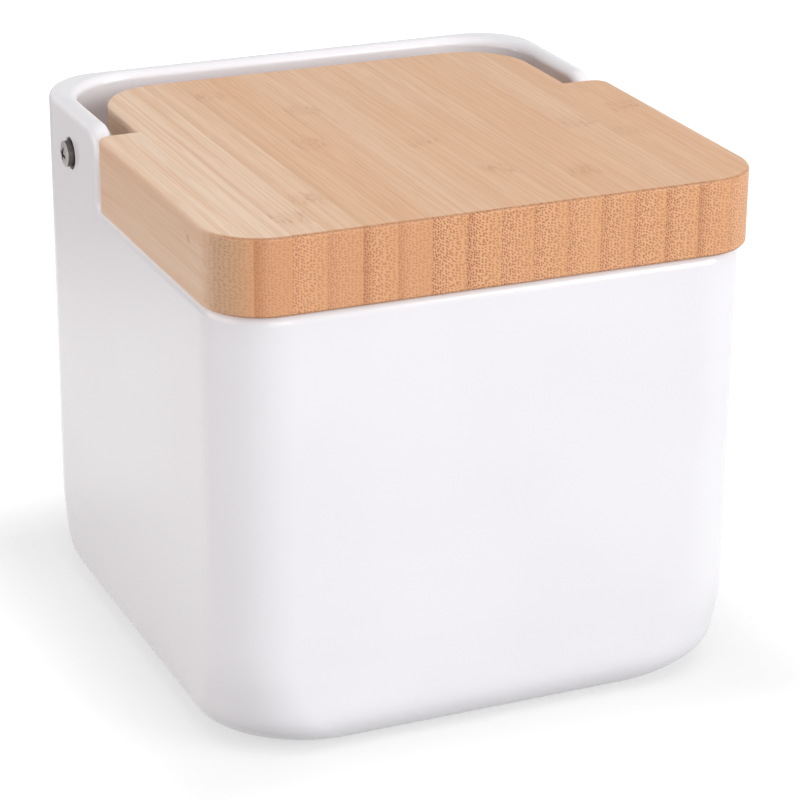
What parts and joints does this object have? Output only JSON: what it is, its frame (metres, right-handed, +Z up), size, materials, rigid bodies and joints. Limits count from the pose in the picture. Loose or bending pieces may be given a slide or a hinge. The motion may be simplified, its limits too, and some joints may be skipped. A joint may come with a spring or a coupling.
{
  "type": "salt pot",
  "caption": "Square-cornered glazed ceramic pot with a flat bamboo lid that hinges on two screws between ears of the raised rear collar.",
  "frame": {"origin": "middle of the footprint, on the surface that the pot stands on", "axes": "+Z up, -Y the front, where the lid lifts, and X along the hinge, left to right"},
  "size_m": [0.1218, 0.1226, 0.1151],
  "materials": {
    "glaze": "glossy white glaze",
    "bamboo": "sanded and lightly oiled",
    "screw_steel": "nickel-plated steel",
    "bush_plastic": "dark grey-brown moulded plastic",
    "washer_nylon": "natural nylon"
  },
  "bodies": {
    "pot": {"pot": "glaze", "left_ear_bush": "bush_plastic", "right_ear_bush": "bush_plastic"},
    "lid": {"lid_strip_01": "bamboo", "lid_strip_02": "bamboo", "lid_strip_03": "bamboo", "lid_strip_04": "bamboo", "lid_strip_05": "bamboo", "lid_strip_06": "bamboo", "lid_strip_07": "bamboo", "lid_strip_08": "bamboo", "lid_strip_09": "bamboo", "lid_strip_10": "bamboo", "lid_strip_11": "bamboo", "lid_strip_12": "bamboo", "lid_strip_13": "bamboo", "lid_strip_14": "bamboo", "lid_strip_15": "bamboo", "lid_strip_16": "bamboo", "lid_strip_17": "bamboo", "left_pivot_screw": "screw_steel", "right_pivot_screw": "screw_steel", "left_spacer_washer": "washer_nylon", "right_spacer_washer": "washer_nylon"}
  },
  "joints": [
    {"name": "lid_hinge", "type": "hinge", "parent": "pot", "child": "lid", "pos_m": [0, 0.0354, 0.1047], "axis": [-1, 0, 0], "range_deg": [0, 118]}
  ]
}
